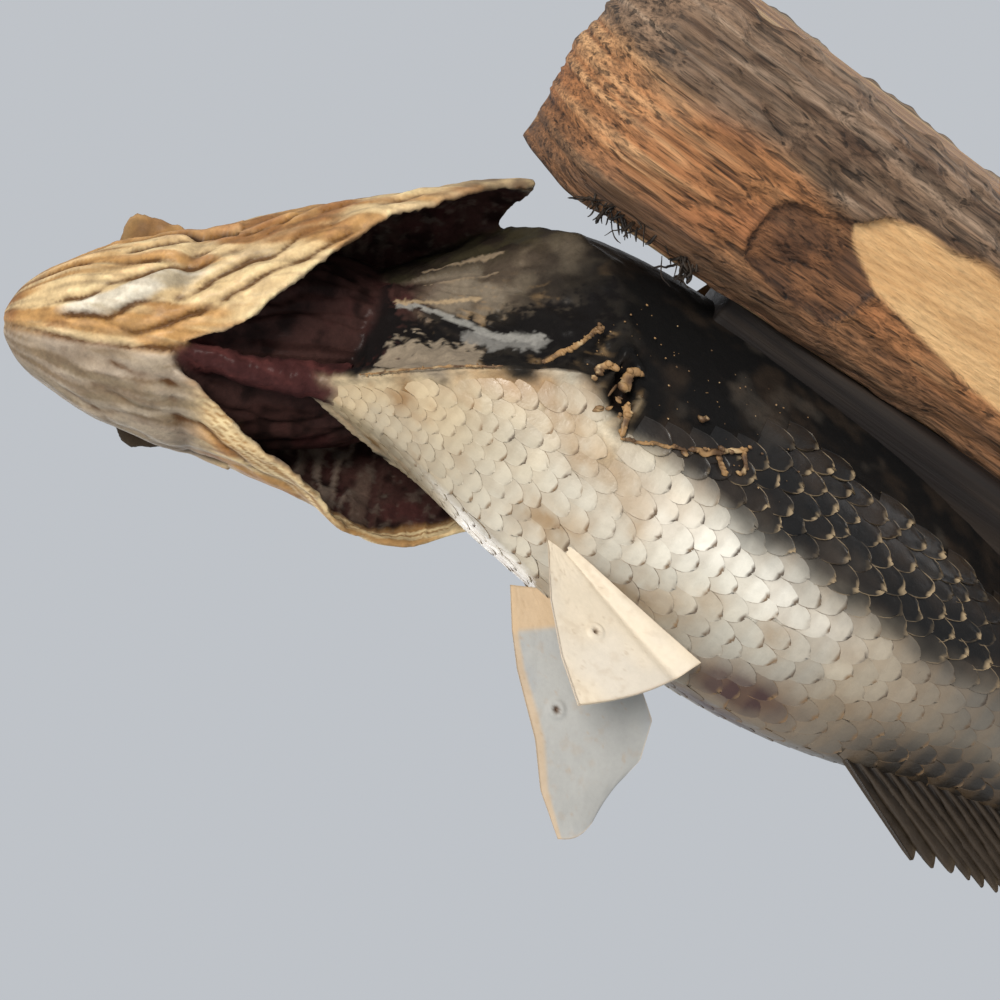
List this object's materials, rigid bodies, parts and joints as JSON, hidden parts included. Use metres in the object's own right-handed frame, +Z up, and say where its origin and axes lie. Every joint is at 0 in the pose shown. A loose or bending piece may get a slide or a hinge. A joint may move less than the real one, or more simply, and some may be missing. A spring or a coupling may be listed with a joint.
{
  "type": "mounted trophy fish",
  "caption": "Dried bass-like trophy fish with flared gill covers and card pelvic fins, mounted on a live-edge wall board.",
  "frame": {"origin": "middle of the board's flat back face, where it meets the wall", "axes": "+X the way the fish faces along the board, +Y into the wall, +Z up"},
  "size_m": [0.4476, 0.1813, 0.2262],
  "materials": {
    "board_wood": "debarked and weathered",
    "block_wood": "dark stain",
    "skin": "dry and glossy",
    "skin_back": "dry and glossy",
    "head_skin": "dry, satin",
    "gill_chamber": "dry, satin",
    "eye": "gloss",
    "fin": "dry, satin",
    "torn_skin": "dry, matte",
    "card": "matte"
  },
  "bodies": {
    "root": {"board": "board_wood", "mounting_block": "block_wood", "trunk_front": "skin", "trunk_mid": "skin", "tail_stalk": "skin_back", "head": "head_skin", "lower_jaw": "head_skin", "isthmus": "gill_chamber", "gill_cover_left": "head_skin", "gill_cover_right": "head_skin", "eye_left": "eye", "eye_right": "eye", "dorsal_fin_spiny": "fin", "dorsal_fin_soft": "fin", "anal_fin": "fin", "caudal_fin": "fin", "pectoral_fin_right": "fin", "pectoral_stub_left": "torn_skin", "pelvic_fin_left": "card", "pelvic_fin_right": "card"}
  },
  "joints": []
}
